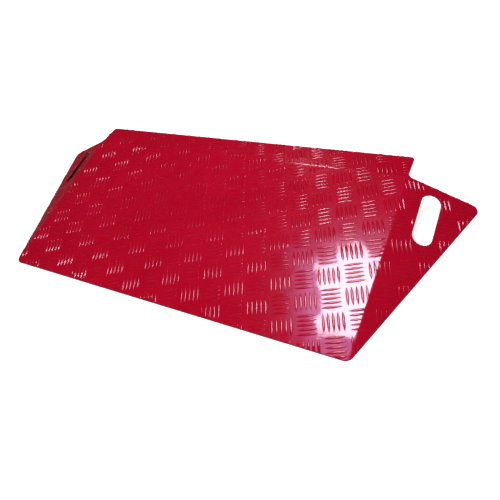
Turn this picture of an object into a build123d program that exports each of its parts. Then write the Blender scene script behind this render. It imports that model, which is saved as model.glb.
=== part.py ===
"""Threshold ramp: a folded tread-plate sheet on welded ribs, with rubber under its toe, lip, wings and ribs.

Millimetres. +X runs across the ramp, +Y from the toe towards the threshold, +Z up.
The origin is on the floor, under the middle of the ramp's outline.
"""

import os
from math import atan2, ceil, cos, hypot, sin

from build123d import *

# Folded sheet: sizes are taken on its underside
deck_width = 750.0  # between the side folds
deck_depth = 360.0  # level distance from the toe to the back fold
deck_rise = 56.0  # height at the back fold
lip_depth = 55.0  # level lip behind the back fold
wing_reach = 128.0  # level distance from a side fold to the wing's outer corner
sheet = 3.0
fold_radius = 7.0  # inside radius of every fold
toe_corner_radius = 14.0
wing_corner_radius = 10.0
lip_corner_radius = 7.0
notch_radius = 9.0  # inner corner between a wing and the lip

# Hand slots, measured on the wing
slot_length = 106.0
slot_width = 36.0
slot_from_fold = 52.5  # side fold to the slot's centreline
slot_from_back = 73.0  # back end of the side fold to the slot's middle

# Tread: raised bars in groups, each group turned across its neighbours, laid out on the sheet before folding
tread_pitch = 42.0  # between the middles of neighbouring groups
tread_turn = 23.0  # degrees from the ramp's width to the rows of groups
tread_x = 356.0  # middle of one group, from the deck's middle
tread_y = 110.0  # middle of the same group, up the deck from the toe
tread_land = 0.5  # plain sheet between the bars and any edge, slot or fold
bars_per_group = 5
bar_spacing = 8.0
bar_length = 34.0
bar_width = 5.0
bar_height = 1.0
shortest_bar = 6.0
bar_steps = 20  # places along a bar where it may end short

# Ribs, on edge under the deck
rib_spacing = 240.0
rib_thickness = 4.0
rib_front_height = 15.0
rib_back_gap = 10.0  # from the rib's back edge to the back fold

# Stitch welds along both sides of each rib
weld_leg = 4.0
weld_crown = 0.5  # how far a bead's face bulges
weld_length = 30.0
welds_per_side = 3
weld_end_gap = 12.0  # from a rib's end to its nearest bead

# Rubber channel on a rib's lower edge
foot_floor = 2.5  # rubber under the rib
foot_wall = 2.0
foot_height = 9.0

# Rubber strips
pad_end_gap = 20.0  # from a side fold to the ends of the toe and lip strips
toe_pad_gap = 14.0  # from the toe to the strip
toe_pad_width = 30.0
lip_pad_thickness = 2.5
lip_pad_edge_gap = 6.0
wing_pad_gap = 7.0  # from the wing's outer edge to the strip
wing_pad_width = 14.0
wing_pad_fold_gap = 8.0  # from the side fold to the strip's front end
wing_pad_corner_gap = 24.0  # from the wing's outer corner to the strip's back end

# Where the sheet's outline and folds lie
half_width = deck_width / 2
toe_y = -(deck_depth + lip_depth) / 2
fold_y = toe_y + deck_depth
lip_y = fold_y + lip_depth
slope = atan2(deck_rise, deck_depth)
up_slope = Vector(0, cos(slope), sin(slope))
deck_length = hypot(deck_depth, deck_rise)  # along the slope


def underside_at(y):
    """Height of the deck's underside at y."""
    return (y - toe_y) * deck_rise / deck_depth


def wing_underside(side):
    """Plane under the right (1) or left (-1) wing."""
    front = Vector(side * half_width, toe_y, 0)
    outer = Vector(side * (half_width + wing_reach), fold_y, 0)
    back = Vector(side * half_width, fold_y, deck_rise)
    normal = (outer - front).cross(back - front).normalized() * side
    across = up_slope.cross(normal)
    return Plane(origin=front - across * side * half_width, x_dir=across, z_dir=normal)


# Planes under the panels: local X and Y are the place on the flat sheet, from the middle of its toe
deck_underside = Plane(origin=(0, toe_y, 0), x_dir=(1, 0, 0), z_dir=(0, -sin(slope), cos(slope)))
lip_underside = Plane(origin=(0, fold_y - deck_length, deck_rise), x_dir=(1, 0, 0), z_dir=(0, 0, 1))
panels = [deck_underside, lip_underside, wing_underside(1), wing_underside(-1)]


def space_below(lift, radius):
    """Everything below the panels, lifted off their undersides, with rounded folds."""
    with BuildPart() as space:
        Box(2 * (deck_width + wing_reach), 2 * (deck_depth + lip_depth), 4 * deck_rise)
        for panel in panels:
            split(bisect_by=panel.offset(lift), keep=Keep.BOTTOM)
        tops = faces().filter_by(lambda face: face.normal_at().Z > 0.5)
        folds = edges().filter_by(lambda edge: sum(edge in top.edges() for top in tops) == 2)
        fillet(folds, radius)
    return space.part


# The folded sheet: its outline raised to a block, trimmed to the top faces and hollowed to the undersides
with BuildPart() as folded_sheet:
    with BuildSketch():
        with BuildLine():
            Polyline(
                (half_width, toe_y),
                (half_width + wing_reach, fold_y),
                (half_width, fold_y),
                (half_width, lip_y),
                (-half_width, lip_y),
                (-half_width, fold_y),
                (-half_width - wing_reach, fold_y),
                (-half_width, toe_y),
                close=True,
            )
        make_face()
        fillet(vertices().group_by(Axis.Y)[1].sort_by(Axis.X)[1:3], notch_radius)
        fillet([vertices().sort_by(Axis.X)[0], vertices().sort_by(Axis.X)[-1]], wing_corner_radius)
        fillet(vertices().group_by(Axis.Y)[-1], lip_corner_radius)
        fillet(vertices().group_by(Axis.Y)[0], toe_corner_radius)
    extrude(amount=2 * deck_rise)
    add(space_below(sheet, fold_radius + sheet), mode=Mode.INTERSECT)
    add(space_below(0, fold_radius), mode=Mode.SUBTRACT)

    # Hand slots
    for side in (1, -1):
        with BuildSketch(wing_underside(side)):
            with Locations((side * (half_width + slot_from_fold), deck_length - slot_from_back)):
                SlotOverall(slot_length, slot_width, rotation=90)
        extrude(amount=2 * sheet, both=True, mode=Mode.SUBTRACT)


def tread_bar(length):
    """A bar along X that rises from its pointed foot to its crown."""
    with BuildPart() as bar:
        ConvexPolyhedron(
            [
                (length / 2, 0, 0),
                (-length / 2, 0, 0),
                (0, bar_width / 2, 0),
                (0, -bar_width / 2, 0),
                (0, 0, bar_height),
            ]
        )
    return bar.part


# Places of the bars on the flat sheet
reach = ceil(hypot(deck_width / 2 + wing_reach + tread_x, deck_length + lip_depth + tread_y) / tread_pitch)
first_group = Location((tread_x, tread_y, 0), (0, 0, tread_turn))
spots = []
for row in range(-reach, reach + 1):
    for column in range(-reach, reach + 1):
        turn = 90 * ((row + column + 1) % 2)
        group = first_group * Location((column * tread_pitch, row * tread_pitch, 0), (0, 0, turn))
        for bar in range(bars_per_group):
            spots.append(group * Location((0, (bar - (bars_per_group - 1) / 2) * bar_spacing, 0)))

# The bars carried onto each panel: one that would cross an edge, a slot or a fold ends before it
bar_step = bar_length / bar_steps
tread = []
for panel in panels:
    top = panel.offset(sheet)
    surface = folded_sheet.faces().filter_by(panel).sort_by(Axis(panel.origin, panel.z_dir))[-1]
    with BuildSketch() as field:
        add(top.to_local_coords(surface))
        offset(amount=-tread_land - bar_width / 2, kind=Kind.INTERSECTION, mode=Mode.REPLACE)
    near = field.face().bounding_box()
    for spot in spots:
        x, y = spot.position.X, spot.position.Y
        if not near.min.X - bar_length < x < near.max.X + bar_length:
            continue
        if not near.min.Y - bar_length < y < near.max.Y + bar_length:
            continue
        inside = []
        for step in range(bar_steps + 1):
            place = spot * Location(((step - bar_steps / 2) * bar_step, 0, 0))
            if field.face().is_inside(place.position):
                inside.append(step)
        steps = inside[-1] - inside[0] if inside else 0
        if steps * bar_step > shortest_bar and len(inside) > steps:
            middle = ((inside[0] + inside[-1]) / 2 - bar_steps / 2) * bar_step
            tread.append(top.location * spot * Location((middle, 0, 0)) * tread_bar(steps * bar_step))

# The sheet with its tread
with BuildPart() as ramp_plate:
    add(folded_sheet.part)
    add(tread)
ramp_plate.part.label = "ramp_plate"

# Wedge-shaped ribs with a rubber channel on each lower edge
rib_front_y = toe_y + rib_front_height * deck_depth / deck_rise
rib_back_y = fold_y - rib_back_gap
rib_places = {"left": -rib_spacing, "centre": 0.0, "right": rib_spacing}
ribs = {}
feet = {}
for name, rib_x in rib_places.items():
    with BuildPart() as rib:
        with BuildSketch(Plane.YZ.offset(rib_x)):
            with BuildLine():
                Polyline(
                    (rib_front_y, foot_floor),
                    (rib_back_y, foot_floor),
                    (rib_back_y, underside_at(rib_back_y)),
                    (rib_front_y, underside_at(rib_front_y)),
                    close=True,
                )
            make_face()
        extrude(amount=rib_thickness / 2, both=True)
    rib.part.label = f"{name}_rib"
    ribs[rib.part.label] = rib.part

    with BuildPart() as foot:
        with BuildSketch(Plane.XZ.offset(-rib_front_y)):
            with Locations((rib_x, 0)):
                Rectangle(rib_thickness + 2 * foot_wall, foot_height, align=(Align.CENTER, Align.MIN))
            with Locations((rib_x, foot_floor)):
                Rectangle(
                    rib_thickness,
                    foot_height,
                    align=(Align.CENTER, Align.MIN),
                    mode=Mode.SUBTRACT,
                )
        extrude(amount=rib_front_y - rib_back_y)
    foot.part.label = f"{name}_rib_foot"
    feet[foot.part.label] = foot.part

# Stitch welds: beads in the corner between each rib side and the deck
first_weld = (rib_front_y - toe_y) / cos(slope) + weld_end_gap
last_weld = (rib_back_y - toe_y) / cos(slope) - weld_end_gap - weld_length
weld_step = (last_weld - first_weld) / (welds_per_side - 1)
with BuildPart() as rib_weld_beads:
    for rib_x in rib_places.values():
        for weld in range(welds_per_side):
            start = deck_underside.from_local_coords(Vector(rib_x, first_weld + weld * weld_step, 0))
            with BuildSketch(Plane(origin=start, x_dir=(1, 0, 0), z_dir=up_slope)):
                with BuildLine():
                    Polyline(
                        (rib_thickness / 2 + weld_leg, 0),
                        (rib_thickness / 2, 0),
                        (rib_thickness / 2, weld_leg),
                    )
                    SagittaArc(
                        (rib_thickness / 2, weld_leg),
                        (rib_thickness / 2 + weld_leg, 0),
                        weld_crown,
                    )
                make_face()
                mirror(about=Plane.YZ)
            extrude(amount=weld_length)
rib_weld_beads.part.label = "rib_weld_beads"

# Wedge-shaped strip under the toe
toe_pad_y = toe_y + toe_pad_gap
with BuildPart() as toe_pad:
    with BuildSketch(Plane.YZ):
        with BuildLine():
            Polyline(
                (toe_pad_y, 0),
                (toe_pad_y + toe_pad_width, 0),
                (toe_pad_y + toe_pad_width, underside_at(toe_pad_y + toe_pad_width)),
                (toe_pad_y, underside_at(toe_pad_y)),
                close=True,
            )
        make_face()
    extrude(amount=half_width - pad_end_gap, both=True)
toe_pad.part.label = "toe_pad"

# Flat strip under the lip
with BuildPart() as lip_pad:
    with Locations((0, fold_y + lip_depth / 2, deck_rise)):
        Box(
            deck_width - 2 * pad_end_gap,
            lip_depth - 2 * lip_pad_edge_gap,
            lip_pad_thickness,
            align=(Align.CENTER, Align.CENTER, Align.MAX),
        )
lip_pad.part.label = "lip_pad"

# Wedge-shaped strip under a wing, beside its outer edge
wing_edge = hypot(wing_reach, deck_depth)
wing_depth = wing_reach * deck_depth / wing_edge  # level distance from the edge to the wing's highest point
wing_pad_back = wing_pad_gap + wing_pad_width
wing_pad_start = (wing_pad_back + wing_pad_fold_gap) * wing_edge / wing_reach
with BuildPart() as right_wing_pad:
    along_edge = Vector(wing_reach, deck_depth, 0).normalized()
    inward = Vector(-deck_depth, wing_reach, 0).normalized()
    start = Vector(half_width, toe_y, 0) + along_edge * wing_pad_start
    with BuildSketch(Plane(origin=start, x_dir=inward, z_dir=along_edge)):
        with BuildLine():
            Polyline(
                (wing_pad_gap, 0),
                (wing_pad_back, 0),
                (wing_pad_back, wing_pad_back * deck_rise / wing_depth),
                (wing_pad_gap, wing_pad_gap * deck_rise / wing_depth),
                close=True,
            )
        make_face()
    extrude(amount=wing_edge - wing_pad_corner_gap - wing_pad_start)
right_wing_pad.part.label = "right_wing_pad"

with BuildPart() as left_wing_pad:
    mirror(right_wing_pad.part, about=Plane.YZ)
left_wing_pad.part.label = "left_wing_pad"

os.makedirs("parts", exist_ok=True)
single_pieces = [ramp_plate, rib_weld_beads, toe_pad, lip_pad, right_wing_pad, left_wing_pad]
for piece in [p.part for p in single_pieces] + list(ribs.values()) + list(feet.values()):
    export_step(piece, f"parts/{piece.label}.step")
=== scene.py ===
"""Looks of a threshold ramp: a folded sheet of red tread plate, its ribs and welds, and its rubber strips.

Metres, in the frame of the solids: +X across the ramp, +Y from the toe towards the threshold, +Z up.
"""

import math

import bmesh
import bpy
import numpy as np
from mathutils import Matrix, Vector, geometry


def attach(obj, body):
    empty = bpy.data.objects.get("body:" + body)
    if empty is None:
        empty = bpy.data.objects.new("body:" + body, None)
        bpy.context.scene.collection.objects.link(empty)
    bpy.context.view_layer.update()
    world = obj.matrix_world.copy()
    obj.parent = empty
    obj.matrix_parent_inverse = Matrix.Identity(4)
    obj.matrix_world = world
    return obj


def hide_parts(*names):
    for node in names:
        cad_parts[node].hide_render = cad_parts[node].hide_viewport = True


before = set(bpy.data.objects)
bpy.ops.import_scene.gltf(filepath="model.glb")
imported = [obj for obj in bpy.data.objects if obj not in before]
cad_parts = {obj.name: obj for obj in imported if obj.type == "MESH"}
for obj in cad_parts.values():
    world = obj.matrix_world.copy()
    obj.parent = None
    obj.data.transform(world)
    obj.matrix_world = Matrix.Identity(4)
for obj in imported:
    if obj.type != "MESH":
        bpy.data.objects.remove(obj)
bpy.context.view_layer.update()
scene = bpy.context.scene
MM = 0.001

# Folded sheet, with the sizes of the solids, taken on its underside
deck_width = 750 * MM
deck_depth = 360 * MM
deck_rise = 56 * MM
lip_depth = 55 * MM
wing_reach = 128 * MM
sheet = 3 * MM
fold_radius = 7 * MM
toe_corner_radius = 14 * MM
wing_corner_radius = 10 * MM
lip_corner_radius = 7 * MM
notch_radius = 9 * MM
slot_length = 106 * MM
slot_width = 36 * MM
slot_from_fold = 52.5 * MM
slot_from_back = 73 * MM

# Edges of the sheet
top_break = 0.6 * MM  # broken edge on the upper side
low_break = 0.3 * MM  # broken edge on the lower side
break_middle = 0.29  # share of a break at the middle of its rounding
coat_edge = 2.2 * MM  # how far in from a rim the coat is thin
bend_cuts = (-1, -0.6, -0.2, 0.2, 0.6, 1)  # where a bend is divided, as shares of its half width

# Tread of the sheet, laid out before it was folded
tread_pitch = 42 * MM
tread_turn = math.radians(23)
tread_start = (356 * MM, 110 * MM)  # middle of the first group, from the deck's middle and its toe
lattice_groups = 47  # each way: odd, and enough to reach every corner of the sheet from the first group
bars_per_group = 5
bar_spacing = 8 * MM
bar_length = 34 * MM
bar_width = 5 * MM
bar_height = 1.0 * MM
bar_sink = 0.15 * MM  # how deep a bar's skirt reaches into the sheet
bar_skirt = 1.14  # outer edge of the skirt, as a share of the bar's half width
bar_rows = (-0.95, -0.8, -0.4, 0.4, 0.8, 0.95)  # where a bar is divided, as shares of its half length
lip_bend_room = 12 * MM  # how far in front of the back fold the bars already follow its bend

# A bar's flank from foot to crown, as shares of its half width and its height
bar_flank = ((1.1, 0.01), (0.99, 0.08), (0.8, 0.42), (0.6, 0.79), (0.34, 0.97))

# Ribs under the deck and the stitch welds along both of their sides
rib_spacing = 240 * MM
rib_thickness = 4 * MM
rib_front_height = 15 * MM
rib_back_gap = 10 * MM
ribs = 3
weld_leg = 4 * MM
weld_crown = 0.5 * MM
weld_length = 30 * MM
welds_per_side = 3
weld_end_gap = 12 * MM
weld_ripple = 2.5 * MM  # from one ripple to the next
ripple_depth = 0.09  # share of a bead's size
ripple_steps = 4  # divisions of each ripple
weld_steps = 6  # divisions of a bead's face, from the deck to the rib
weld_end = 0.35  # share of a bead's size left at its ends

# Where the panels and folds lie
half_width = deck_width / 2
toe_y = -(deck_depth + lip_depth) / 2
fold_y = toe_y + deck_depth
lip_y = fold_y + lip_depth
steepness = deck_rise / deck_depth
wing_fall = deck_rise / wing_reach
slope = math.atan(steepness)
deck_length = math.hypot(deck_depth, deck_rise)  # along the slope
up_slope = np.array((0, math.cos(slope), math.sin(slope)))
deck_normal = np.array((0, -math.sin(slope), math.cos(slope)))
wing_normal = np.array((wing_fall, -steepness, 1)) / math.sqrt(1 + wing_fall**2 + steepness**2)
wing_angle = math.acos(float(deck_normal @ wing_normal))
wing_out = np.cross(up_slope, wing_normal)  # across the right wing, away from its fold


# Node trees

# Colour sockets of a Mix node, whose names are not unique
COLOUR_A = 6
COLOUR_B = 7
COLOUR_RESULT = 2


def put(tree, kind, inputs=None, **settings):
    """Adds a node with its settings, and its inputs as values or links."""
    node = tree.nodes.new(kind)
    for name, value in settings.items():
        setattr(node, name, value)
    for key, value in (inputs or {}).items():
        if isinstance(value, bpy.types.NodeSocket):
            tree.links.new(value, node.inputs[key])
        else:
            node.inputs[key].default_value = value
    return node


def linear(code):
    """Linear RGBA of an sRGB hex colour."""
    parts = [int(code[i : i + 2], 16) / 255 for i in (1, 3, 5)]
    return (*(c / 12.92 if c <= 0.04045 else ((c + 0.055) / 1.055) ** 2.4 for c in parts), 1)


def new_material(name):
    """An empty material with its output, and the coordinates of the piece in metres."""
    material = bpy.data.materials.new(name)
    material.use_nodes = True
    tree = material.node_tree
    tree.nodes.clear()
    output = put(tree, "ShaderNodeOutputMaterial")
    where = put(tree, "ShaderNodeTexCoord").outputs["Object"]
    return material, tree, output, where


def powder_coat(name, code, deep_code, edge_code):
    """Red polyester powder coat, baked to a high gloss: a deep even red under a hard clear skin.

    The skin mirrors lamps sharply, with long low waves and a faint orange peel about 3 mm across. The
    pigment under it scatters a soft mauve glow round each reflection. On cut edges the coat is paler.
    """
    cloud_size = 110 * MM  # slow changes between the two reds
    chip_size = 4 * MM  # worn spots along cut edges
    peel_size = 3 * MM
    peel_height = 0.02 * MM
    wave_size = 45 * MM
    wave_height = 30  # times the height of the peel
    smear_size = 42 * MM  # slight changes in the gloss
    material, tree, output, where = new_material(name)
    cloud = put(tree, "ShaderNodeTexNoise", {"Vector": where, "Scale": 1 / cloud_size, "Detail": 3})
    tone = put(
        tree,
        "ShaderNodeMapRange",
        {"Value": cloud.outputs["Fac"], "From Min": 0.35, "From Max": 0.65},
    )
    body = put(
        tree,
        "ShaderNodeMix",
        {"Factor": tone.outputs["Result"], COLOUR_A: linear(deep_code), COLOUR_B: linear(code)},
        data_type="RGBA",
    )
    rim = put(tree, "ShaderNodeAttribute", attribute_name="rim")
    chips = put(tree, "ShaderNodeTexNoise", {"Vector": where, "Scale": 1 / chip_size, "Detail": 2})
    thin = put(
        tree,
        "ShaderNodeMath",
        {0: rim.outputs["Fac"], 1: chips.outputs["Fac"]},
        operation="MULTIPLY",
    )
    worn = put(
        tree,
        "ShaderNodeMapRange",
        {"Value": thin.outputs[0], "From Min": 0.42, "From Max": 0.7, "To Max": 0.5},
    )
    colour = put(
        tree,
        "ShaderNodeMix",
        {
            "Factor": worn.outputs["Result"],
            COLOUR_A: body.outputs[COLOUR_RESULT],
            COLOUR_B: linear(edge_code),
        },
        data_type="RGBA",
    )
    peel = put(
        tree,
        "ShaderNodeTexNoise",
        {"Vector": where, "Scale": 1 / peel_size, "Detail": 1.5, "Roughness": 0.4},
    )
    waves = put(tree, "ShaderNodeTexNoise", {"Vector": where, "Scale": 1 / wave_size, "Detail": 1})
    relief = put(
        tree,
        "ShaderNodeMath",
        {0: waves.outputs["Fac"], 1: wave_height, 2: peel.outputs["Fac"]},
        operation="MULTIPLY_ADD",
    )
    bump = put(
        tree,
        "ShaderNodeBump",
        {"Height": relief.outputs[0], "Strength": 1.0, "Distance": peel_height},
    )
    smears = put(
        tree,
        "ShaderNodeTexNoise",
        {"Vector": where, "Scale": 1 / smear_size, "Detail": 4, "Roughness": 0.6},
    )
    haze = put(
        tree,
        "ShaderNodeMapRange",
        {"Value": smears.outputs["Fac"], "From Min": 0.3, "From Max": 0.7, "To Min": 0.17, "To Max": 0.23},
    )
    shader = put(
        tree,
        "ShaderNodeBsdfPrincipled",
        {
            "Base Color": colour.outputs[COLOUR_RESULT],
            "Roughness": haze.outputs["Result"],
            "IOR": 1.5,
            "Specular IOR Level": 0.36,
            "Specular Tint": linear("#C4C4FF"),
            "Coat Weight": 1.0,
            "Coat Roughness": 0.05,
            "Coat IOR": 1.5,
            "Normal": bump.outputs["Normal"],
            "Coat Normal": bump.outputs["Normal"],
        },
    )
    tree.links.new(shader.outputs["BSDF"], output.inputs["Surface"])
    return material


def extruded_rubber(name, code, dust_code):
    """Black EPDM rubber, extruded: a dull grey-black skin with fine grain and a little pale dust."""
    grain_size = 1.1 * MM  # drawn coarser than real grain, so that it shows
    grain_height = 0.1 * MM
    dust_size = 25 * MM
    material, tree, output, where = new_material(name)
    grain = put(tree, "ShaderNodeTexNoise", {"Vector": where, "Scale": 1 / grain_size, "Detail": 3})
    dust = put(
        tree,
        "ShaderNodeTexNoise",
        {"Vector": where, "Scale": 1 / dust_size, "Detail": 5, "Roughness": 0.65},
    )
    lying = put(
        tree,
        "ShaderNodeMapRange",
        {"Value": dust.outputs["Fac"], "From Min": 0.45, "From Max": 0.75, "To Max": 0.6},
    )
    colour = put(
        tree,
        "ShaderNodeMix",
        {"Factor": lying.outputs["Result"], COLOUR_A: linear(code), COLOUR_B: linear(dust_code)},
        data_type="RGBA",
    )
    rough = put(
        tree,
        "ShaderNodeMapRange",
        {"Value": grain.outputs["Fac"], "From Min": 0.3, "From Max": 0.7, "To Min": 0.62, "To Max": 0.8},
    )
    bump = put(
        tree,
        "ShaderNodeBump",
        {"Height": grain.outputs["Fac"], "Strength": 0.5, "Distance": grain_height},
    )
    shader = put(
        tree,
        "ShaderNodeBsdfPrincipled",
        {
            "Base Color": colour.outputs[COLOUR_RESULT],
            "Roughness": rough.outputs["Result"],
            "IOR": 1.52,
            "Normal": bump.outputs["Normal"],
        },
    )
    tree.links.new(shader.outputs["BSDF"], output.inputs["Surface"])
    return material


red_coat = powder_coat("gloss_red_powder_coat_on_sheet", "#BA0424", "#B40320", "#C2303F")
rib_coat = powder_coat("gloss_red_powder_coat_on_ribs", "#B60422", "#AE031D", "#BC303C")
rubber = extruded_rubber("black_extruded_EPDM_rubber", "#161617", "#2B2A29")


# Shape of the folded sheet

def soft_min(a, b, width):
    """The lower of two heights, rounded where they are within width of each other."""
    near = np.clip(width - np.abs(a - b), 0, None) / width
    return np.minimum(a, b) - near * near * width / 4


def sheet_height(x, y, lift):
    """Height of the folded sheet over (x, y), lifted off the underside along the panels' normals."""
    radius = fold_radius + lift
    deck = (y - toe_y) * steepness
    wing = deck - (np.abs(x) - half_width) * wing_fall + lift / wing_normal[2]
    back_round = 2 * radius * math.tan(slope / 2) * steepness
    side_round = 2 * radius * math.tan(wing_angle / 2) * wing_fall
    level = soft_min(deck + lift / deck_normal[2], np.full_like(deck, deck_rise + lift), back_round)
    return soft_min(level, wing, side_round)


def round_corner(before, corner, after, radius, points=9):
    """Points along the arc that rounds a corner."""
    to_before = (before - corner).normalized()
    to_after = (after - corner).normalized()
    angle = to_before.angle(to_after)
    start = corner + to_before * (radius / math.tan(angle / 2))
    middle = corner + (to_before + to_after).normalized() * (radius / math.sin(angle / 2))
    sweep = math.pi - angle
    sign = 1 if to_before.x * to_after.y - to_before.y * to_after.x < 0 else -1
    spoke = start - middle
    arc = []
    for i in range(points):
        turn = sign * sweep * i / (points - 1)
        x = spoke.x * math.cos(turn) - spoke.y * math.sin(turn)
        y = spoke.x * math.sin(turn) + spoke.y * math.cos(turn)
        arc.append(middle + Vector((x, y)))
    return arc


def sheet_outline(inset):
    """The sheet's outline seen from above, anticlockwise, moved inwards."""
    corners = [
        (half_width, toe_y, toe_corner_radius - inset),
        (half_width + wing_reach, fold_y, wing_corner_radius - inset),
        (half_width, fold_y, notch_radius + inset),
        (half_width, lip_y, lip_corner_radius - inset),
    ]
    corners += [(-x, y, radius) for x, y, radius in reversed(corners)]
    places = [Vector((x, y)) for x, y, _ in corners]
    moved = []
    for i, corner in enumerate(places):
        arriving = (corner - places[i - 1]).normalized()
        leaving = (places[(i + 1) % len(places)] - corner).normalized()
        normals = [Vector((-d.y, d.x)) for d in (arriving, leaving)]
        moved.append(corner + (normals[0] + normals[1]) * (inset / (1 + normals[0].dot(normals[1]))))
    loop = []
    for i, corner in enumerate(moved):
        loop += round_corner(moved[i - 1], corner, moved[(i + 1) % len(moved)], corners[i][2])
    return loop


def on_wing(side, out, up, lift):
    """A point on a wing: out from the side fold, up along it, lifted off the underside."""
    front = np.array((half_width, toe_y, 0))
    point = front + out * wing_out + up * up_slope + lift * wing_normal
    return np.array((side * point[0], point[1], point[2]))


def slot_outline(side, grow, lift, points=14):
    """A hand slot's outline at a height in the sheet, seen from above, anticlockwise."""
    radius = slot_width / 2 + grow
    straight = slot_length / 2 - slot_width / 2
    loop = []
    for end in (1, -1):
        for i in range(points):
            turn = math.pi * i / (points - 1) + (0 if end > 0 else math.pi)
            out = slot_from_fold + radius * math.cos(turn)
            up = deck_length - slot_from_back + end * straight + radius * math.sin(turn)
            loop.append(Vector(on_wing(side, out, up, lift)[:2]))
    return loop if side > 0 else loop[::-1]


def sheet_rims(inset, lift):
    """The outline and both slots, clockwise, at a height in the sheet, moved into the metal."""
    return [sheet_outline(inset)] + [slot_outline(side, inset, lift)[::-1] for side in (1, -1)]


def contains(loop, points):
    """Which of the points lie inside a loop."""
    inside = np.zeros(len(points), bool)
    ends = np.array(loop)
    for (x0, y0), (x1, y1) in zip(ends, np.roll(ends, -1, axis=0)):
        if y0 != y1:
            crosses = (y0 > points[:, 1]) != (y1 > points[:, 1])
            inside ^= crosses & (points[:, 0] < x0 + (points[:, 1] - y0) * (x1 - x0) / (y1 - y0))
    return inside


def add_cap(bm, rim_layer, level, rims, lines, facing_up):
    """Fills an outline round its holes at one level, with lines on it, and returns the rims' vertices."""
    nearest = 1e-9  # points closer than this become one
    loops = rims + lines
    flat = [point for loop in loops for point in loop]
    edges = []
    start = 0
    for loop in loops:
        edges += [(start + i, start + (i + 1) % len(loop)) for i in range(len(loop))]
        start += len(loop)
    places, _, triangles, origins, _, _ = geometry.delaunay_2d_cdt(flat, edges, [], 0, nearest)
    made = [bm.verts.new((p.x, p.y, level)) for p in places]
    first = {}
    for index, sources in enumerate(origins):
        for source in sources:
            first[source] = made[index]
    middles = np.array([[sum(places[i][axis] for i in t) / 3 for axis in (0, 1)] for t in triangles])
    keep = contains(rims[0], middles)
    for hole in rims[1:]:
        keep &= ~contains(hole, middles)
    for triangle, kept in zip(triangles, keep):
        if kept:
            corners = [made[i] for i in triangle]
            bm.faces.new(corners if facing_up else corners[::-1])
    rings = []
    start = 0
    for loop in rims:
        ring = [first[start + i] for i in range(len(loop))]
        for vert in ring:
            vert[rim_layer] = 1
        rings.append(ring)
        start += len(loop)
    return rings


def add_ring(bm, rim_layer, loop, level):
    """A ring of vertices round a rim."""
    ring = [bm.verts.new((p.x, p.y, level)) for p in loop]
    for vert in ring:
        vert[rim_layer] = 1
    return ring


def add_wall(bm, upper, lower):
    """Faces between two rings of a rim."""
    for i in range(len(upper)):
        j = (i + 1) % len(upper)
        bm.faces.new((upper[j], upper[i], lower[i], lower[j]))


def flat_sheet(bm, rim_layer):
    """The sheet as a flat slab, its outline and slots as seen from above; Z is the height in the sheet."""
    levels = [
        (top_break * break_middle, sheet - top_break * break_middle),
        (0, sheet - top_break),
        (0, low_break),
    ]
    top_line = sheet_rims(top_break + coat_edge, sheet)
    low_line = sheet_rims(low_break + coat_edge, 0)
    walls = [add_cap(bm, rim_layer, sheet, sheet_rims(top_break, sheet), top_line, True)]
    for inset, level in levels:
        walls.append([add_ring(bm, rim_layer, loop, level) for loop in sheet_rims(inset, level)])
    walls.append(add_cap(bm, rim_layer, 0, sheet_rims(low_break, 0), low_line, False))
    for upper, lower in zip(walls, walls[1:]):
        for ring, next_ring in zip(upper, lower):
            add_wall(bm, ring, next_ring)


def fold_sheet(bm):
    """Cuts the slab at the bends and raises it to the folded shape."""
    nearest = 1e-7  # vertices closer than this to a cut lie on it
    for lift in (0, sheet):
        radius = fold_radius + lift
        side_fold = half_width + lift * (1 / wing_normal[2] - 1 / deck_normal[2]) / wing_fall
        back_fold = fold_y + lift * (1 - 1 / deck_normal[2]) / steepness
        for share in bend_cuts:
            x = side_fold + share * 2 * radius * math.tan(wing_angle / 2)
            y = back_fold + share * 2 * radius * math.tan(slope / 2)
            cuts = [
                ((x, 0, 0), (1, 0, 0)),
                ((-x, 0, 0), (1, 0, 0)),
                ((0, y, 0), (0, 1, 0)),
            ]
            for place, normal in cuts:
                everything = bm.verts[:] + bm.edges[:] + bm.faces[:]
                bmesh.ops.bisect_plane(bm, geom=everything, dist=nearest, plane_co=place, plane_no=normal)
    flat = np.array([v.co for v in bm.verts])
    low = sheet_height(flat[:, 0], flat[:, 1], 0)
    high = sheet_height(flat[:, 0], flat[:, 1], sheet)
    for vert, z in zip(bm.verts, low + flat[:, 2] / sheet * (high - low)):
        vert.co.z = z


# Raised bars

def bar_form():
    """One bar along X, lens-shaped from above, with flared sides and a skirt hidden in the sheet."""
    bm = bmesh.new()
    across = [(-t, h) for t, h in bar_flank] + [(0, 1)] + list(reversed(bar_flank))
    rows = []
    for s in bar_rows:
        x = s * bar_length / 2
        # The width falls from the middle on, and the height only near the tips
        wide = bar_width / 2 * (1 - s**2) ** 0.8
        high = bar_height * (1 - s**4) ** 0.5
        section = [(wide * t, high * h) for t, h in across]
        skirt = bar_skirt * wide
        section = [(-skirt, -bar_sink)] + section + [(skirt, -bar_sink)]
        rows.append([bm.verts.new((x, y, z)) for y, z in section])
    tips = [bm.verts.new((end * bar_length / 2, 0, -bar_sink)) for end in (-1, 1)]
    last = len(across)
    for i in range(last + 1):
        strip = []
        for row, after in zip(rows, rows[1:]):
            strip.append(bm.faces.new((row[i], after[i], after[i + 1], row[i + 1])))
        strip.append(bm.faces.new((tips[0], rows[0][i], rows[0][i + 1])))
        strip.append(bm.faces.new((rows[-1][i], tips[1], rows[-1][i + 1])))
        for face in strip:
            face.smooth = 0 < i < last
    foot = [tips[0]] + [row[-1] for row in rows] + [tips[1]] + [row[0] for row in reversed(rows)]
    bm.faces.new(foot)
    mesh = bpy.data.meshes.new("tread_bar")
    bm.to_mesh(mesh)
    bm.free()
    return mesh


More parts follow.
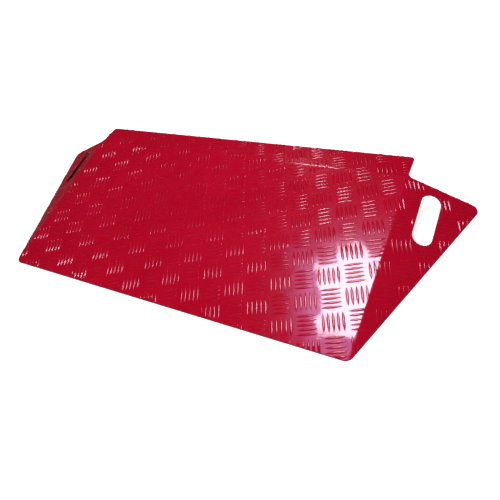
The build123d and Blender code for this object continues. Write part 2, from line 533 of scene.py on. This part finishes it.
def new_layout(name, inputs):
    """A Geometry Nodes tree that takes a form and named inputs, and the sockets of what it is given."""
    tree = bpy.data.node_groups.new(name, "GeometryNodeTree")
    tree.interface.new_socket("Geometry", in_out="INPUT", socket_type="NodeSocketGeometry")
    for label, kind in inputs.items():
        tree.interface.new_socket(label, in_out="INPUT", socket_type=f"NodeSocket{kind}")
    tree.interface.new_socket("Geometry", in_out="OUTPUT", socket_type="NodeSocketGeometry")
    return tree, put(tree, "NodeGroupInput").outputs


def end_layout(tree, copies, material):
    """Makes a layout's copies real, gives them their material and hands them out."""
    real = put(tree, "GeometryNodeRealizeInstances", {"Geometry": copies})
    coated = put(tree, "GeometryNodeSetMaterial", {"Geometry": real.outputs[0], "Material": material})
    put(tree, "NodeGroupOutput", {"Geometry": coated.outputs[0]})


def tread_tree():
    """Geometry Nodes: copies a bar into groups, and the groups over a turned square lattice."""
    tree, given = new_layout(
        "five_bar_tread",
        {
            "Pitch": "Float",
            "Turn": "Float",
            "Start": "Vector",
            "Groups Each Way": "Int",
            "Bars": "Int",
            "Spacing": "Float",
            "Reach": "Vector",
            "Material": "Material",
        },
    )

    # One group of bars
    last = put(tree, "ShaderNodeMath", {0: given["Bars"], 1: 1}, operation="SUBTRACT").outputs[0]
    width = put(tree, "ShaderNodeMath", {0: last, 1: given["Spacing"]}, operation="MULTIPLY").outputs[0]
    edge = put(tree, "ShaderNodeMath", {0: width, 1: -0.5}, operation="MULTIPLY").outputs[0]
    first_bar = put(tree, "ShaderNodeCombineXYZ", {"Y": edge}).outputs[0]
    step = put(tree, "ShaderNodeCombineXYZ", {"Y": given["Spacing"]}).outputs[0]
    row = put(
        tree,
        "GeometryNodeMeshLine",
        {"Count": given["Bars"], "Start Location": first_bar, "Offset": step},
    )
    group = put(
        tree,
        "GeometryNodeInstanceOnPoints",
        {"Points": row.outputs[0], "Instance": given["Geometry"]},
    )

    # Places of the groups, each turned across its neighbours
    gaps = put(tree, "ShaderNodeMath", {0: given["Groups Each Way"], 1: 1}, operation="SUBTRACT").outputs[0]
    span = put(tree, "ShaderNodeMath", {0: gaps, 1: given["Pitch"]}, operation="MULTIPLY").outputs[0]
    lattice = put(
        tree,
        "GeometryNodeMeshGrid",
        {
            "Size X": span,
            "Size Y": span,
            "Vertices X": given["Groups Each Way"],
            "Vertices Y": given["Groups Each Way"],
        },
    )
    place = put(tree, "GeometryNodeInputPosition").outputs[0]
    per_pitch = put(tree, "ShaderNodeMath", {0: 1, 1: given["Pitch"]}, operation="DIVIDE").outputs[0]
    cell = put(tree, "ShaderNodeVectorMath", {0: place, "Scale": per_pitch}, operation="SCALE")
    cells = put(tree, "ShaderNodeSeparateXYZ", {0: cell.outputs[0]})
    column = put(tree, "ShaderNodeMath", {0: cells.outputs["X"]}, operation="ROUND").outputs[0]
    line = put(tree, "ShaderNodeMath", {0: cells.outputs["Y"]}, operation="ROUND").outputs[0]
    count = put(tree, "ShaderNodeMath", {0: column, 1: line}, operation="ADD").outputs[0]
    even = put(tree, "ShaderNodeMath", {0: count, 1: 1}, operation="ADD").outputs[0]
    parity = put(tree, "ShaderNodeMath", {0: even, 1: 2}, operation="FLOORED_MODULO").outputs[0]
    quarter = put(tree, "ShaderNodeMath", {0: parity, 1: math.pi / 2}, operation="MULTIPLY").outputs[0]
    turned = put(tree, "ShaderNodeCombineXYZ", {"Z": quarter}).outputs[0]
    rotation = put(tree, "FunctionNodeEulerToRotation", {0: turned}).outputs[0]

    # Only groups within reach of the sheet
    spun = put(
        tree,
        "ShaderNodeVectorRotate",
        {"Vector": place, "Angle": given["Turn"]},
        rotation_type="Z_AXIS",
    )
    moved = put(tree, "ShaderNodeVectorMath", {0: spun.outputs[0], 1: given["Start"]}, operation="ADD")
    away = put(tree, "ShaderNodeVectorMath", {0: moved.outputs[0]}, operation="ABSOLUTE")
    room = put(tree, "ShaderNodeVectorMath", {0: given["Reach"], 1: away.outputs[0]}, operation="SUBTRACT")
    rooms = put(tree, "ShaderNodeSeparateXYZ", {0: room.outputs[0]})
    least = put(tree, "ShaderNodeMath", {0: rooms.outputs["X"], 1: rooms.outputs["Y"]}, operation="MINIMUM")
    near = put(tree, "ShaderNodeMath", {0: least.outputs[0], 1: 0}, operation="GREATER_THAN").outputs[0]

    spread = put(
        tree,
        "GeometryNodeInstanceOnPoints",
        {
            "Points": lattice.outputs["Mesh"],
            "Selection": near,
            "Instance": group.outputs[0],
            "Rotation": rotation,
        },
    )
    angles = put(tree, "ShaderNodeCombineXYZ", {"Z": given["Turn"]}).outputs[0]
    laid = put(
        tree,
        "GeometryNodeTransform",
        {"Geometry": spread.outputs[0], "Translation": given["Start"], "Rotation": angles},
    )
    end_layout(tree, laid.outputs[0], given["Material"])
    return tree


def evaluated_mesh(obj, name):
    """A plain mesh of what an object's modifiers give."""
    seen = obj.evaluated_get(bpy.context.evaluated_depsgraph_get())
    mesh = bpy.data.meshes.new_from_object(seen)
    mesh.name = name
    return mesh


def laid_out(form, tree, name, values):
    """A plain mesh of a form laid out by a node tree, with the tree's inputs set."""
    carrier = bpy.data.objects.new(name, form)
    scene.collection.objects.link(carrier)
    layout = carrier.modifiers.new(name, "NODES")
    layout.node_group = tree
    for socket in tree.interface.items_tree:
        if socket.in_out == "INPUT" and socket.name in values:
            layout[socket.identifier] = values[socket.name]
    mesh = evaluated_mesh(carrier, name)
    bpy.data.objects.remove(carrier)
    return mesh


def flat_tread():
    """All bars of the tread on the flat sheet, and how many vertices each bar has."""
    form = bar_form()
    per_bar = len(form.vertices)
    flat_wing = 1.1 * wing_reach  # a little over the wing's width before folding
    reach = (half_width + flat_wing + tread_pitch, deck_length + lip_depth + tread_pitch, 0)
    values = {
        "Pitch": tread_pitch,
        "Turn": tread_turn,
        "Start": (*tread_start, 0),
        "Groups Each Way": lattice_groups,
        "Bars": bars_per_group,
        "Spacing": bar_spacing,
        "Reach": reach,
        "Material": red_coat,
    }
    return laid_out(form, tread_tree(), "flat_tread", values), per_bar


def past_bend(distance, lift, angle, along, normal):
    """Offset from a fold line, at a distance past it along the sheet, round the bend between two panels.

    along and normal belong to the first panel: its direction towards the fold, and its upper side.
    """
    tangent = fold_radius * math.tan(angle / 2)
    turn = angle * np.clip((distance + tangent) / (2 * tangent), 0, 1)
    before = np.minimum(distance, -tangent)[:, None] * along
    axis = -fold_radius * normal
    spoke = normal * np.cos(turn)[:, None] + along * np.sin(turn)[:, None]
    arc = (fold_radius + lift)[:, None] * spoke
    onwards = along * math.cos(angle) - normal * math.sin(angle)
    after = np.maximum(distance - tangent, 0)[:, None] * onwards
    return before + axis + arc + after


def on_folded_sheet(u, v, lift, over_lip):
    """Points of the flat sheet, u across from its middle and v from its toe, put on the folded sheet."""
    start = np.array((0, toe_y, 0))
    out = np.abs(u) - half_width
    beyond = v - deck_length
    none = np.zeros_like(u)
    sideways = np.stack((u, none, none), axis=1)
    outwards = np.stack((np.where(u < 0, -1.0, 1.0), none, none), axis=1)
    side_fold = start + v[:, None] * up_slope + half_width * outwards
    back_fold = start + sideways + deck_length * up_slope
    on_side = side_fold + past_bend(out, lift, wing_angle, outwards, deck_normal)
    on_back = back_fold + past_bend(beyond, lift, slope, up_slope, deck_normal)
    level = over_lip | ((beyond > -lip_bend_room) & (out < 0))
    return np.where(level[:, None], on_back, on_side)


def trimming_block():
    """A tall block with the sheet's outline and slots, for trimming bars."""
    reach = 0.2  # well above and below the sheet
    bm = bmesh.new()
    rim_layer = bm.verts.layers.float.new("rim")
    rims = sheet_rims(top_break, sheet)
    upper = add_cap(bm, rim_layer, reach, rims, [], True)
    lower = add_cap(bm, rim_layer, -reach, rims, [], False)
    for ring, next_ring in zip(upper, lower):
        add_wall(bm, ring, next_ring)
    mesh = bpy.data.meshes.new("trimming_block")
    bm.to_mesh(mesh)
    bm.free()
    return mesh


def kept_bars(mesh, per_bar, keep):
    """A copy of the tread with only some of its bars."""
    bm = bmesh.new()
    bm.from_mesh(mesh)
    gone = [vert for vert in bm.verts if not keep[vert.index // per_bar]]
    bmesh.ops.delete(bm, geom=gone, context="VERTS")
    part = bpy.data.meshes.new("tread_part")
    bm.to_mesh(part)
    bm.free()
    return part


def folded_tread():
    """The bars on the folded sheet, those inside its edges and those cut off at its outline and slots."""
    mesh, per_bar = flat_tread()
    flat = np.empty(len(mesh.vertices) * 3)
    mesh.vertices.foreach_get("co", flat)
    flat = flat.reshape(-1, 3)
    bars = flat.reshape(-1, per_bar, 3)
    behind_fold = bars[:, :, 1].mean(axis=1) > deck_length
    between_wings = np.abs(bars[:, :, 0]).min(axis=1) < half_width
    over_lip = np.repeat(behind_fold & between_wings, per_bar)
    folded = on_folded_sheet(flat[:, 0], flat[:, 1], sheet + flat[:, 2], over_lip)
    mesh.vertices.foreach_set("co", folded.ravel())
    inside = contains(sheet_outline(top_break), folded[:, :2])
    for side in (1, -1):
        inside &= ~contains(slot_outline(side, top_break, sheet), folded[:, :2])
    inside &= (flat[:, 1] > -bar_length) & (flat[:, 1] < deck_length + lip_depth + bar_length)
    counts = inside.reshape(-1, per_bar).sum(axis=1)
    whole = kept_bars(mesh, per_bar, counts == per_bar)
    partly = kept_bars(mesh, per_bar, (counts > 0) & (counts < per_bar))
    crossing = bpy.data.objects.new("crossing_bars", partly)
    block = bpy.data.objects.new("trimming_block", trimming_block())
    for helper in (crossing, block):
        scene.collection.objects.link(helper)
    trim = crossing.modifiers.new("trim", "BOOLEAN")
    trim.operation = "INTERSECT"
    trim.solver = "EXACT"
    trim.object = block
    bpy.context.view_layer.update()
    cut = evaluated_mesh(crossing, "cut_bars")
    if not cut.polygons:
        raise RuntimeError("the bars at the sheet's edges were lost in trimming")
    for helper in (crossing, block):
        bpy.data.objects.remove(helper)
    return whole, cut


def make_tread_plate():
    """The folded sheet with its bars, in place of the plain solid."""
    bm = bmesh.new()
    rim_layer = bm.verts.layers.float.new("rim")
    flat_sheet(bm, rim_layer)
    fold_sheet(bm)
    for part in folded_tread():
        bm.from_mesh(part)
    mesh = bpy.data.meshes.new("tread_plate")
    bm.to_mesh(mesh)
    bm.free()
    mesh.materials.append(red_coat)
    plate = bpy.data.objects.new("tread_plate", mesh)
    scene.collection.objects.link(plate)
    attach(plate, "root")
    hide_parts("ramp_plate")


make_tread_plate()


# Stitch welds

def weld_bead():
    """Rippled weld metal along Y in the corner between a level sheet and a rib's right side."""
    bm = bmesh.new()
    steps = ripple_steps * round(weld_length / weld_ripple)
    rings = []
    for i in range(steps + 1):
        along = (i / steps - 0.5) * weld_length
        from_end = weld_length / 2 - abs(along)
        round_end = math.sqrt(1 - (1 - min(from_end / weld_leg, 1)) ** 2)
        ripple = 1 - ripple_depth * (0.5 + 0.5 * math.cos(2 * math.pi * along / weld_ripple))
        size = ripple * (weld_end + (1 - weld_end) * round_end)
        ring = [bm.verts.new((rib_thickness / 2, along, 0))]
        for j in range(weld_steps + 1):
            share = j / weld_steps
            bulge = weld_crown * 4 * share * (1 - share) / math.sqrt(2)
            right = size * (weld_leg * (1 - share) + bulge)
            down = size * (weld_leg * share + bulge)
            ring.append(bm.verts.new((rib_thickness / 2 + right, along, -down)))
        rings.append(ring)
    for ring, next_ring in zip(rings, rings[1:]):
        for j in range(len(ring)):
            k = (j + 1) % len(ring)
            face = bm.faces.new((ring[j], ring[k], next_ring[k], next_ring[j]))
            face.smooth = 0 < j < len(ring) - 1
    bm.faces.new(rings[0][::-1])
    bm.faces.new(rings[-1])
    bmesh.ops.recalc_face_normals(bm, faces=bm.faces)
    mesh = bpy.data.meshes.new("weld_bead")
    bm.to_mesh(mesh)
    bm.free()
    return mesh


def weld_tree():
    """Geometry Nodes: a bead on both sides of each rib, in rows up the deck's underside."""
    tree, given = new_layout(
        "stitch_welds",
        {
            "Ribs": "Int",
            "Welds": "Int",
            "Width": "Float",
            "Length": "Float",
            "Middle": "Vector",
            "Slope": "Float",
            "Material": "Material",
        },
    )
    right = given["Geometry"]
    left = put(tree, "GeometryNodeTransform", {"Geometry": right, "Rotation": (0, 0, math.pi)}).outputs[0]
    pair = put(tree, "GeometryNodeJoinGeometry")
    for bead in (right, left):
        tree.links.new(bead, pair.inputs[0])
    places = put(
        tree,
        "GeometryNodeMeshGrid",
        {
            "Size X": given["Width"],
            "Size Y": given["Length"],
            "Vertices X": given["Ribs"],
            "Vertices Y": given["Welds"],
        },
    )
    rows = put(
        tree,
        "GeometryNodeInstanceOnPoints",
        {"Points": places.outputs["Mesh"], "Instance": pair.outputs[0]},
    )
    angles = put(tree, "ShaderNodeCombineXYZ", {"X": given["Slope"]}).outputs[0]
    laid = put(
        tree,
        "GeometryNodeTransform",
        {"Geometry": rows.outputs[0], "Translation": given["Middle"], "Rotation": angles},
    )
    end_layout(tree, laid.outputs[0], given["Material"])
    return tree


def make_stitch_welds():
    """All weld beads under the deck, in place of the plain solids."""
    rib_front_y = toe_y + rib_front_height / steepness
    rib_back_y = fold_y - rib_back_gap
    first = (rib_front_y - toe_y) / math.cos(slope) + weld_end_gap
    last = (rib_back_y - toe_y) / math.cos(slope) - weld_end_gap - weld_length
    middle = np.array((0, toe_y, 0)) + (first + last + weld_length) / 2 * up_slope
    values = {
        "Ribs": ribs,
        "Welds": welds_per_side,
        "Width": (ribs - 1) * rib_spacing,
        "Length": last - first,
        "Middle": tuple(middle),
        "Slope": slope,
        "Material": rib_coat,
    }
    mesh = laid_out(weld_bead(), weld_tree(), "stitch_welds", values)
    welds = bpy.data.objects.new("stitch_welds", mesh)
    scene.collection.objects.link(welds)
    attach(welds, "root")
    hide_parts("rib_weld_beads")


make_stitch_welds()


# Finishes of the other pieces

for name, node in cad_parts.items():
    node.data.materials.clear()
    node.data.materials.append(rubber if name.endswith(("_pad", "_foot")) else rib_coat)


# Floor and world

mirror_share = 0.03  # share of the white floor and backdrop that the gloss mirrors, to stay deep red
floor_reach = 20.0  # half the floor's width
floor_drop = 0.3 * MM  # from the rubber down to the floor

# Painted soft shade on the floor under the ramp, darker and reddish for its shadow and the bounce light
# from its underside, from full to none by the distance past its outline
full_painted_shade = -12 * MM
no_painted_shade = -2 * MM
left_spread = 0.32 * wing_reach  # how far the painted shade goes on behind the left wing
left_spread_end = 0.7 * wing_reach  # from the left fold to where it starts to draw in
painted_slot_light_radius = 80 * MM  # round painted pool of light on the floor under the ramp, clear of the painted shade, seen through the right slot
painted_slot_light_shift = 24 * MM  # its middle, behind the slot's middle

# The painted shade deepens only slowly in from the ramp's back, where light would reach in under it, so a
# distance inwards counts only in part there
back_softness = 0.07  # from the back edges of the lip and the right wing
left_softness = 0.7  # from the back edge of the left wing
fold_softness = 0.25  # from a side fold, outwards under a wing


def past_painted_shade(tree, where):
    """Distance on the floor past the painted shade under the ramp, negative inside it."""
    place = put(tree, "ShaderNodeSeparateXYZ", {0: where}).outputs
    across = put(tree, "ShaderNodeMath", {0: place["X"]}, operation="ABSOLUTE").outputs[0]
    along = put(tree, "ShaderNodeMath", {0: place["Y"]}, operation="ABSOLUTE").outputs[0]

    # The wings' outer edges, and the toe and lip
    lean = wing_reach / deck_depth
    edge = half_width - lean * toe_y
    leaning = put(tree, "ShaderNodeMath", {0: place["Y"], 1: -lean, 2: across}, operation="MULTIPLY_ADD")
    beside = leaning.outputs[0]
    past_edge = put(tree, "ShaderNodeMath", {0: beside, 1: edge}, operation="SUBTRACT").outputs[0]
    past_end = put(tree, "ShaderNodeMath", {0: along, 1: lip_y}, operation="SUBTRACT").outputs[0]
    outside = put(tree, "ShaderNodeMath", {0: past_edge, 1: past_end}, operation="MAXIMUM").outputs[0]

    # Under the lip
    past_fold = put(tree, "ShaderNodeMath", {0: across, 1: half_width}, operation="SUBTRACT").outputs[0]
    deep_end = put(tree, "ShaderNodeMath", {0: past_end, 1: back_softness}, operation="MULTIPLY").outputs[0]
    soft_end = put(tree, "ShaderNodeMath", {0: past_end, 1: deep_end}, operation="MAXIMUM").outputs[0]
    inward = put(tree, "ShaderNodeMath", {0: past_fold, 1: -fold_softness}, operation="MULTIPLY").outputs[0]
    behind_lip = put(tree, "ShaderNodeMath", {0: soft_end, 1: inward}, operation="MINIMUM").outputs[0]

    # Under the wings' back edges
    on_right = put(tree, "ShaderNodeMath", {0: place["X"], 1: 0}, operation="GREATER_THAN").outputs[0]
    left_line = put(
        tree,
        "ShaderNodeMapRange",
        {
            "Value": place["X"],
            "From Min": -half_width - wing_reach,
            "From Max": -half_width - left_spread_end,
            "To Min": fold_y,
            "To Max": fold_y + left_spread,
        },
    )
    wing_line = put(
        tree,
        "ShaderNodeMapRange",
        {"Value": on_right, "To Min": left_line.outputs[0], "To Max": fold_y},
    )
    softness = put(
        tree,
        "ShaderNodeMapRange",
        {"Value": on_right, "To Min": left_softness, "To Max": back_softness},
    )
    past_line = put(tree, "ShaderNodeMath", {0: place["Y"], 1: wing_line.outputs[0]}, operation="SUBTRACT")
    past_wing = past_line.outputs[0]
    deep_wing = put(tree, "ShaderNodeMath", {0: past_wing, 1: softness.outputs[0]}, operation="MULTIPLY")
    soft_wing = put(tree, "ShaderNodeMath", {0: past_wing, 1: deep_wing.outputs[0]}, operation="MAXIMUM")
    behind_wing = put(tree, "ShaderNodeMath", {0: past_fold, 1: soft_wing.outputs[0]}, operation="MINIMUM")

    # A painted pool of light, where the floor shows through the right slot
    slot_x, slot_y, _ = on_wing(1, slot_from_fold, deck_length - slot_from_back, 0)
    from_slot = put(
        tree,
        "ShaderNodeVectorMath",
        {0: where, 1: (slot_x, slot_y + painted_slot_light_shift, 0)},
        operation="DISTANCE",
    ).outputs["Value"]
    painted_slot_light = put(tree, "ShaderNodeMath", {0: painted_slot_light_radius, 1: from_slot}, operation="SUBTRACT")

    behind = put(tree, "ShaderNodeMath", {0: behind_lip, 1: behind_wing.outputs[0]}, operation="MAXIMUM")
    clear = put(tree, "ShaderNodeMath", {0: outside, 1: behind.outputs[0]}, operation="MAXIMUM").outputs[0]
    return put(tree, "ShaderNodeMath", {0: clear, 1: painted_slot_light.outputs[0]}, operation="MAXIMUM").outputs[0]


def ray_kinds(tree):
    """Which rays come straight from the camera, also through glass, and which are mirrored."""
    path = put(tree, "ShaderNodeLightPath").outputs
    rays = {0: path["Is Camera Ray"], 1: path["Is Transmission Ray"]}
    straight = put(tree, "ShaderNodeMath", rays, operation="MAXIMUM").outputs[0]
    return straight, path["Is Glossy Ray"]


def pale_floor():
    """A large matt floor just under the rubber: white to the camera with its real shadow, painted shade and
    painted red bounce light under the ramp, and dim to the ramp.
    """
    near_white = 0.72  # glow of the floor beside the ramp, which adds to the lamps' light on it
    painted_shade_glow = 0.1  # glow of the floor under the ramp, lowered there as painted shade
    white_from = 0.2  # distance from the ramp where the glow starts to rise to white
    white_at = 1.0  # distance where it is white
    grey = 0.16  # the floor that lights the ramp
    mirrored_grey = 0.015  # the same, seen in the gloss
    mesh = bpy.data.meshes.new("floor")
    signs = ((-1, -1), (1, -1), (1, 1), (-1, 1))
    corners = [(x * floor_reach, y * floor_reach, -floor_drop) for x, y in signs]
    mesh.from_pydata(corners, [], [(0, 1, 2, 3)])
    floor = bpy.data.objects.new("floor", mesh)
    scene.collection.objects.link(floor)
    material, tree, output, where = new_material("matt_white_floor_with_painted_shade")
    distance = past_painted_shade(tree, where)
    out_of_painted_shade = put(
        tree,
        "ShaderNodeMapRange",
        {"Value": distance, "From Min": full_painted_shade, "From Max": no_painted_shade},
    )
    # Painted shade: the floor's colour turns dark red-brown under the ramp, for its shadow and the red
    # light bounced from its underside
    tone = put(
        tree,
        "ShaderNodeMix",
        {"Factor": out_of_painted_shade.outputs[0], COLOUR_A: linear("#5A2C32"), COLOUR_B: linear("#FBFBFB")},
        data_type="RGBA",
    )
    # Painted shade and painted red bounce light, in the colour of the floor's glow under the ramp
    painted_shade_hue = put(
        tree,
        "ShaderNodeMix",
        {"Factor": out_of_painted_shade.outputs[0], COLOUR_A: linear("#8C444A"), COLOUR_B: linear("#FFFFFF")},
        data_type="RGBA",
    )
    # Painted shade: the floor's glow drops under the ramp
    beside = put(
        tree,
        "ShaderNodeMapRange",
        {
            "Value": distance,
            "From Min": full_painted_shade,
            "From Max": no_painted_shade,
            "To Min": painted_shade_glow,
            "To Max": near_white,
        },
    )
    strength = put(
        tree,
        "ShaderNodeMapRange",
        {
            "Value": distance,
            "From Min": white_from,
            "From Max": white_at,
            "To Min": beside.outputs[0],
            "To Max": 1.0,
        },
    )
    straight, glossy = ray_kinds(tree)
    dim = put(tree, "ShaderNodeMapRange", {"Value": glossy, "To Min": grey, "To Max": mirrored_grey})
    dull = put(tree, "ShaderNodeBsdfDiffuse", {"Color": dim.outputs[0]})
    white = put(tree, "ShaderNodeBsdfDiffuse", {"Color": tone.outputs[COLOUR_RESULT]})
    glow = put(
        tree,
        "ShaderNodeEmission",
        {"Color": painted_shade_hue.outputs[COLOUR_RESULT], "Strength": strength.outputs["Result"]},
    )
    both = put(tree, "ShaderNodeAddShader", {0: white.outputs[0], 1: glow.outputs[0]})
    mirrored = put(tree, "ShaderNodeMath", {0: glossy, 1: mirror_share}, operation="MULTIPLY")
    looked_at = put(tree, "ShaderNodeMath", {0: straight, 1: mirrored.outputs[0]}, operation="MAXIMUM")
    above = put(
        tree,
        "ShaderNodeMixShader",
        {0: looked_at.outputs[0], 1: dull.outputs[0], 2: both.outputs[0]},
    )
    below = put(tree, "ShaderNodeNewGeometry").outputs["Backfacing"]
    nothing = put(tree, "ShaderNodeBsdfTransparent")
    seen = put(tree, "ShaderNodeMixShader", {0: below, 1: above.outputs[0], 2: nothing.outputs[0]})
    tree.links.new(seen.outputs[0], output.inputs["Surface"])
    mesh.materials.append(material)


def white_world():
    """A backdrop that is white to the camera, lights the ramp softly and is dim in the gloss."""
    low_ray = 0.2  # upward part of a ray, up to which it meets the bright foot of the backdrop
    high_ray = 0.35  # upward part of a ray, from which it meets the dimmer part above
    low_light = 0.75  # share of white that lights the ramp from the foot
    high_light = 0.3  # share of white that lights it from above
    world = bpy.data.worlds.new("studio")
    scene.world = world
    world.use_nodes = True
    sky = world.node_tree
    sky.nodes.clear()
    ray = put(sky, "ShaderNodeTexCoord").outputs["Generated"]
    height = put(sky, "ShaderNodeSeparateXYZ", {0: ray}).outputs["Z"]
    low = put(
        sky,
        "ShaderNodeMapRange",
        {"Value": height, "From Min": low_ray, "From Max": high_ray, "To Min": 1, "To Max": 0},
    ).outputs[0]
    straight, glossy = ray_kinds(sky)
    mirrored = put(sky, "ShaderNodeMath", {0: low, 1: mirror_share}, operation="MULTIPLY")
    light = put(sky, "ShaderNodeMapRange", {"Value": low, "To Min": high_light, "To Max": low_light})
    around = put(
        sky,
        "ShaderNodeMapRange",
        {"Value": glossy, "To Min": light.outputs[0], "To Max": mirrored.outputs[0]},
    )
    seen = put(sky, "ShaderNodeMath", {0: straight, 1: around.outputs[0]}, operation="MAXIMUM")
    room = put(
        sky,
        "ShaderNodeMix",
        {"Factor": seen.outputs[0], COLOUR_A: linear("#0D0D1D"), COLOUR_B: linear("#FFFFFF")},
        data_type="RGBA",
    )
    shown = put(sky, "ShaderNodeBackground", {"Color": room.outputs[COLOUR_RESULT], "Strength": 1.0})
    put(sky, "ShaderNodeOutputWorld", {"Surface": shown.outputs[0]})


pale_floor()
white_world()


# Lamps

def facing(place, target, roll=0.0):
    """Pose of a lamp at a place that faces a point."""
    away = (Vector(place) - Vector(target)).normalized()
    across = (Vector((1, 0, 0)) - away * away.x).normalized()
    turn = Matrix((across, away.cross(across), away)).transposed().to_4x4()
    return Matrix.Translation(place) @ turn @ Matrix.Rotation(roll, 4, "Z")


def softbox(name, pose, size, radiance, code):
    """A rectangular lamp of an even radiance."""
    wide, high = size
    lamp = bpy.data.lights.new(name, "AREA")
    lamp.shape = "RECTANGLE"
    lamp.size = wide
    lamp.size_y = high
    lamp.energy = radiance * math.pi * wide * high
    lamp.color = linear(code)[:3]
    holder = bpy.data.objects.new(name, lamp)
    scene.collection.objects.link(holder)
    holder.matrix_world = pose
    return holder


# A stepped ceiling lamp, mirrored as the patch on the deck, its dim surround, and a lamp further back
ceiling = facing(place=(0.109, 0.263, 1.3), target=(0, -0.35, 0), roll=math.radians(14.3))
lamp_radiance = 16.0
lamp_white = "#FFFFFF"
surround_blue = "#A4B0FF"
for name, offset, size, radiance, code in (
    ("ceiling_panel", (0, 0, 0), (0.45, 0.349), lamp_radiance, lamp_white),
    ("ceiling_panel_top", (-0.05, 0.207, 0), (0.13, 0.065), lamp_radiance, lamp_white),
    ("ceiling_surround_0", (-0.02, -0.05, 0.01), (0.57, 0.5), 1.1, surround_blue),
    ("ceiling_surround_1", (-0.02, -0.05, 0.02), (0.66, 0.57), 0.7, surround_blue),
    ("ceiling_surround_2", (-0.02, -0.05, 0.03), (0.76, 0.66), 0.35, surround_blue),
    ("second_panel", (-0.16, 0.82, 0), (0.2, 0.14), lamp_radiance, lamp_white),
):
    softbox(name, ceiling @ Matrix.Translation(offset), size, radiance, code)

# Fill light, left out of the gloss
for name, place, target, size, radiance in (
    ("front_panel", (-0.1, -1.3, 0.9), (0, 0, 0), (1.6, 0.5), 2.6),
    ("fill_panel", (1.1, -0.8, 0.5), (0.1, 0, 0), (0.8, 0.6), 1.7),
):
    softbox(name, facing(place, target), size, radiance, lamp_white).visible_glossy = False


# Camera, solved from the ramp's outline in the photograph

camera_place = (0.5134, -0.5116, 0.6365)
camera_azimuth = math.radians(39.39)
camera_elevation = math.radians(46.31)
camera_roll = math.radians(18.56)
frame_pixels = 500.0
focal_pixels = 459.0
sensor_width = 36.0  # millimetres


def photo_camera():
    """The photograph's camera."""
    level_back = Vector((math.sin(camera_azimuth), -math.cos(camera_azimuth), 0))
    back = level_back * math.cos(camera_elevation) + Vector((0, 0, math.sin(camera_elevation)))
    level = (-back).cross(Vector((0, 0, 1))).normalized()
    down = (-back).cross(level)
    right = level * math.cos(camera_roll) + down * math.sin(camera_roll)
    up = back.cross(right)
    turn = Matrix((right, up, back)).transposed().to_4x4()
    data = bpy.data.cameras.new("photo_camera")
    data.sensor_width = sensor_width
    data.lens = sensor_width * focal_pixels / frame_pixels
    data.clip_start = 0.01
    data.clip_end = 100.0
    camera = bpy.data.objects.new("photo_camera", data)
    scene.collection.objects.link(camera)
    camera.matrix_world = Matrix.Translation(camera_place) @ turn
    scene.camera = camera


photo_camera()
scene.view_settings.view_transform = "Standard"
